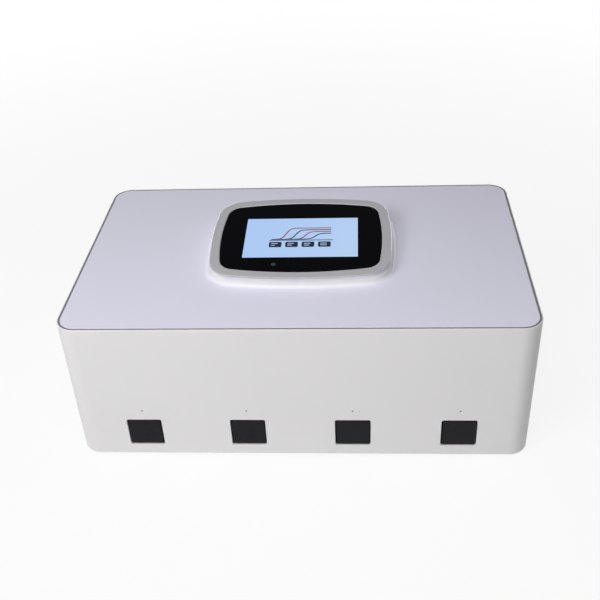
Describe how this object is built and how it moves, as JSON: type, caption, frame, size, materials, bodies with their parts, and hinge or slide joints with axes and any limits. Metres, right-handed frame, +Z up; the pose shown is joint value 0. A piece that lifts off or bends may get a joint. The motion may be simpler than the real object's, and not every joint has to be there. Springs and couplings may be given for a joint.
{
  "type": "real-time pcr analyzer",
  "caption": "Low rounded bench analyzer with four motor-driven chip trays in its front and a tilted touch display in a raised pod on its lid.",
  "frame": {"origin": "on the table, under the centre of the bounding box", "axes": "+X to the right seen from the front, -Y the front with the trays, +Z up"},
  "size_m": [0.474, 0.29, 0.1915],
  "materials": {
    "casing_white": "fine satin moulded plastic",
    "cover_white": "satin moulded plastic, slightly cool",
    "base_metal": "plain rolled sheet",
    "gasket_grey": "soft matt seal",
    "foot_rubber": "moulded rubber",
    "screw_steel": "zinc-plated screws",
    "bezel_grey": "satin moulded plastic",
    "black_glass": "glass printed black behind, clear over the screen",
    "clear_plastic": "milky light pipe",
    "screen_blue": "lit display module",
    "sheet_steel": "pressed zinc-plated sheet",
    "circuit_green": "solder-masked circuit board",
    "front_black": "dark satin gloss",
    "tray_black": "filled engineering plastic",
    "frame_grey": "moulded chassis plastic",
    "optics_black": "black housing",
    "heater_aluminium": "machined",
    "motor_steel": "plated can",
    "gear_white": "acetal",
    "battery_wrap": "shrink-wrapped cells",
    "cable_grey": "flat ribbon",
    "fan_black": "moulded fan plastic",
    "port_grey": "powder-coated sheet",
    "port_steel": "plated shells",
    "inlet_black": "moulded plastic"
  },
  "bodies": {
    "body": {"body_shell": "casing_white", "base_plate": "base_metal", "top_cover": "cover_white", "perimeter_gasket": "gasket_grey", "rubber_feet": "foot_rubber", "base_screws": "screw_steel", "cover_screws": "screw_steel", "display_bezel": "bezel_grey", "cover_glass": "black_glass", "power_indicator": "clear_plastic", "lcd_panel": "screen_blue", "display_bracket": "sheet_steel", "display_board": "circuit_green", "display_screws": "screw_steel", "bay_frame_1": "frame_grey", "optics_head_1": "optics_black", "heater_block_1": "heater_aluminium", "drive_motor_1": "motor_steel", "bay_frame_2": "frame_grey", "optics_head_2": "optics_black", "heater_block_2": "heater_aluminium", "drive_motor_2": "motor_steel", "bay_frame_3": "frame_grey", "optics_head_3": "optics_black", "heater_block_3": "heater_aluminium", "drive_motor_3": "motor_steel", "bay_frame_4": "frame_grey", "optics_head_4": "optics_black", "heater_block_4": "heater_aluminium", "drive_motor_4": "motor_steel", "status_lights": "clear_plastic", "backplane_board": "circuit_green", "main_board": "circuit_green", "heat_sink": "heater_aluminium", "battery_pack": "battery_wrap", "battery_strap": "sheet_steel", "display_cable": "cable_grey", "backplane_cable": "cable_grey", "fan_frame": "fan_black", "port_panel": "port_grey", "usb_ports": "port_steel", "network_port": "port_steel", "dc_inlet": "inlet_black", "inner_screws": "screw_steel", "switch_frame": "inlet_black"},
    "tray_1": {"tray_front_1": "front_black", "chip_tray_1": "tray_black"},
    "pinion_1": {"drive_pinion_1": "gear_white"},
    "tray_2": {"tray_front_2": "front_black", "chip_tray_2": "tray_black"},
    "pinion_2": {"drive_pinion_2": "gear_white"},
    "tray_3": {"tray_front_3": "front_black", "chip_tray_3": "tray_black"},
    "pinion_3": {"drive_pinion_3": "gear_white"},
    "tray_4": {"tray_front_4": "front_black", "chip_tray_4": "tray_black"},
    "pinion_4": {"drive_pinion_4": "gear_white"},
    "fan": {"fan_rotor": "fan_black"},
    "rocker": {"switch_rocker": "inlet_black"}
  },
  "joints": [
    {"name": "tray_1_slide", "type": "slide", "parent": "body", "child": "tray_1", "axis": [0, -1, 0], "range_m": [0, 0.062]},
    {"name": "pinion_1_spin", "type": "hinge", "parent": "body", "child": "pinion_1", "pos_m": [-0.1632, -0.112, 0.0223], "axis": [1, 0, 0], "range_deg": [0, 494]},
    {"name": "tray_2_slide", "type": "slide", "parent": "body", "child": "tray_2", "axis": [0, -1, 0], "range_m": [0, 0.062]},
    {"name": "pinion_2_spin", "type": "hinge", "parent": "body", "child": "pinion_2", "pos_m": [-0.0544, -0.112, 0.0223], "axis": [1, 0, 0], "range_deg": [0, 494]},
    {"name": "tray_3_slide", "type": "slide", "parent": "body", "child": "tray_3", "axis": [0, -1, 0], "range_m": [0, 0.062]},
    {"name": "pinion_3_spin", "type": "hinge", "parent": "body", "child": "pinion_3", "pos_m": [0.0544, -0.112, 0.0223], "axis": [1, 0, 0], "range_deg": [0, 494]},
    {"name": "tray_4_slide", "type": "slide", "parent": "body", "child": "tray_4", "axis": [0, -1, 0], "range_m": [0, 0.062]},
    {"name": "pinion_4_spin", "type": "hinge", "parent": "body", "child": "pinion_4", "pos_m": [0.1632, -0.112, 0.0223], "axis": [1, 0, 0], "range_deg": [0, 494]},
    {"name": "power_switch", "type": "hinge", "parent": "body", "child": "rocker", "pos_m": [-0.103, 0.1385, 0.051], "axis": [-1, 0, 0], "range_deg": [0, 16]},
    {"name": "fan_spin", "type": "hinge", "parent": "body", "child": "fan", "pos_m": [0.165, 0.1285, 0.082], "axis": [0, 1, 0], "continuous": true}
  ],
  "couplings": [
    {"joint": "pinion_1_spin", "follows": "tray_1_slide", "rad_per_m": 138.89},
    {"joint": "pinion_2_spin", "follows": "tray_2_slide", "rad_per_m": 138.89},
    {"joint": "pinion_3_spin", "follows": "tray_3_slide", "rad_per_m": 138.89},
    {"joint": "pinion_4_spin", "follows": "tray_4_slide", "rad_per_m": 138.89}
  ]
}
